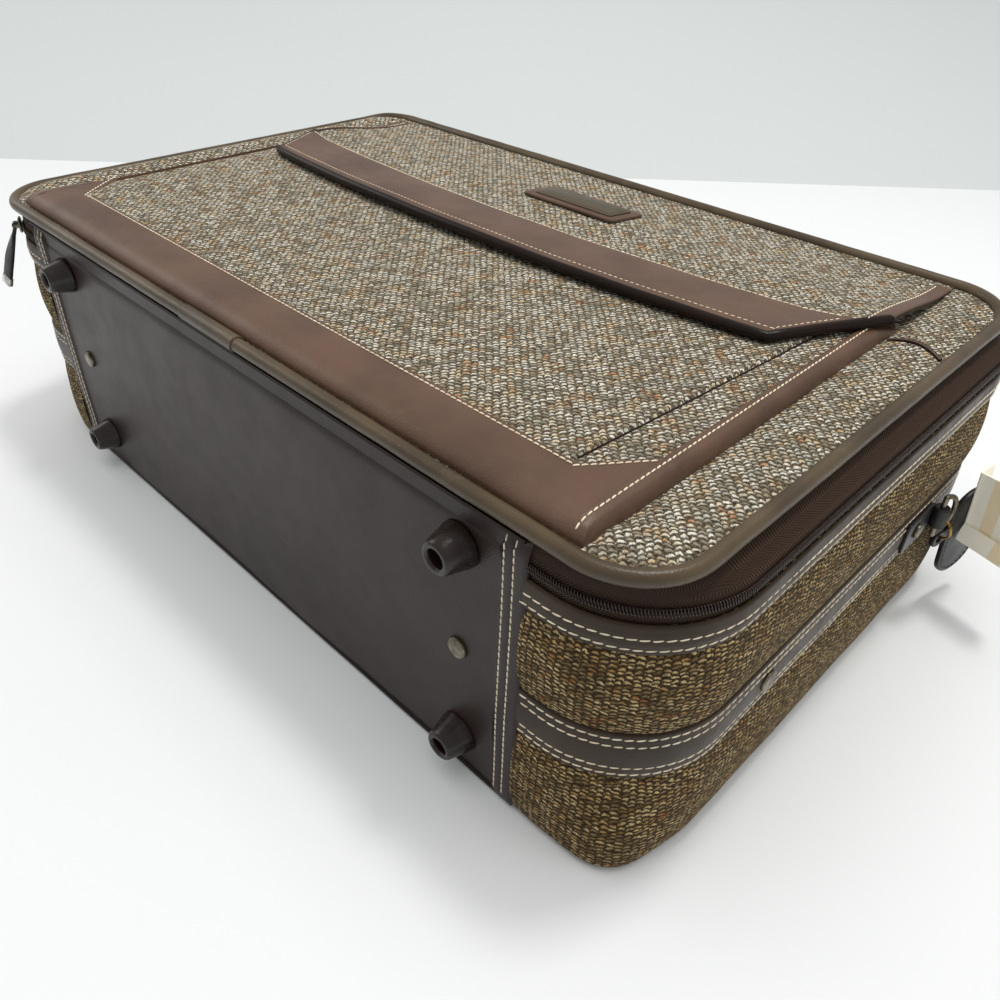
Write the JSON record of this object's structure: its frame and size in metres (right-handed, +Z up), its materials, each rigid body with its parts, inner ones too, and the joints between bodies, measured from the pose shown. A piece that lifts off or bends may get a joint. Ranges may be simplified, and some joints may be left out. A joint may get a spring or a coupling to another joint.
{
  "type": "suitcase",
  "caption": "Soft-sided zip suitcase in tweed with leather trim, a hinged lid with a flap pocket, sliding zip pulls, a carrying handle, feet and a D-ring with a luggage tag.",
  "frame": {"origin": "centre of the back's outer face, which the case lies on", "axes": "+X along the case's width, -Y out of the side with the feet, +Y out of the side with the handle, +Z up out of the lid"},
  "size_m": [0.6335, 0.3881, 0.1817],
  "materials": {
    "tweed": "coarse flecked basket weave, padded",
    "brown_leather": "worn brown grain with cream stitching",
    "dark_leather": "dark worn grain with a grey sheen",
    "piping": "smooth olive brown",
    "zip_tape": "brown herringbone",
    "zip_chain": "dark nylon",
    "black_leather": "smooth black",
    "foot_plastic": "glossy",
    "nickel": "worn nickel plate",
    "brass": "aged dark bronze",
    "board": "raw fibre board",
    "lining": "plain woven lining",
    "card": "matt cream card"
  },
  "bodies": {
    "case": {"case_wall": "tweed", "back_panel": "tweed", "back_board": "board", "bottom_panel": "dark_leather", "bottom_board": "board", "case_lining": "lining", "rim_hoop": "nickel", "rim_binding": "brown_leather", "side_band": "brown_leather", "case_zip_tape": "zip_tape", "case_zip_chain": "zip_chain", "zip_stops": "nickel", "hinge_fold": "dark_leather", "foot_upper_left": "foot_plastic", "foot_upper_right": "foot_plastic", "foot_lower_left": "foot_plastic", "foot_lower_right": "foot_plastic", "foot_screws": "nickel", "bottom_rivets": "nickel", "side_rivets": "nickel", "handle_bracket_left": "nickel", "handle_bracket_right": "nickel", "handle_pins": "nickel", "ring_tab": "brown_leather", "ring_tab_rivet": "nickel"},
    "lid": {"lid_panel": "tweed", "lid_board": "board", "lid_lining": "lining", "lid_piping": "piping", "lid_zip_tape": "zip_tape", "lid_zip_chain": "zip_chain", "pocket_gusset": "brown_leather", "pocket_panel": "tweed", "pocket_trim": "brown_leather", "flap_welt": "tweed"},
    "flap": {"flap_panel": "tweed", "flap_band": "brown_leather", "flap_strips": "brown_leather", "nameplate_backing": "black_leather", "nameplate": "brass"},
    "slider_front": {"zip_slider_front": "nickel"},
    "pull_front": {"zip_pull_front": "black_leather", "zip_tip_front": "nickel"},
    "slider_rear": {"zip_slider_rear": "nickel"},
    "pull_rear": {"zip_pull_rear": "black_leather", "zip_tip_rear": "nickel"},
    "handle": {"handle_core": "nickel", "handle_grip": "dark_leather"},
    "d_ring": {"d_ring": "nickel"},
    "tag": {"split_ring": "brass", "luggage_tag": "black_leather", "tag_card": "card"}
  },
  "joints": [
    {"name": "lid_hinge", "type": "hinge", "parent": "case", "child": "lid", "pos_m": [0, -0.173, 0.169], "axis": [1, 0, 0], "range_deg": [0, 180]},
    {"name": "flap_fold", "type": "hinge", "parent": "lid", "child": "flap", "pos_m": [0, 0.154, 0.1793], "axis": [-1, 0, 0], "range_deg": [0, 135]},
    {"name": "slider_front_run", "type": "hinge", "parent": "case", "child": "slider_front", "pos_m": [-0.227, -0.12, 0.153], "axis": [0, 0, 1], "range_deg": [-57, 25]},
    {"name": "pull_front_swing", "type": "hinge", "parent": "slider_front", "child": "pull_front", "pos_m": [-0.25317, -0.17366, 0.153], "axis": [-0.8988, 0.4384, 0], "range_deg": [-20, 70]},
    {"name": "slider_rear_run", "type": "slide", "parent": "case", "child": "slider_rear", "axis": [0, 1, 0], "range_m": [0, 0.215]},
    {"name": "pull_rear_swing", "type": "hinge", "parent": "slider_rear", "child": "pull_rear", "pos_m": [-0.2867, -0.106, 0.153], "axis": [0, 1, 0], "range_deg": [-20, 140]},
    {"name": "handle_swing", "type": "hinge", "parent": "case", "child": "handle", "pos_m": [0, 0.188, 0.072], "axis": [1, 0, 0], "range_deg": [0, 175]},
    {"name": "ring_swing", "type": "hinge", "parent": "case", "child": "d_ring", "pos_m": [0.288, 0.093, 0.072], "axis": [0, 0, -1], "range_deg": [-4, 110]},
    {"name": "tag_swing", "type": "hinge", "parent": "d_ring", "child": "tag", "pos_m": [0.29002, 0.10111, 0.06204], "axis": [-0.2419, -0.9703, 0], "range_deg": [-3, 12]}
  ]
}
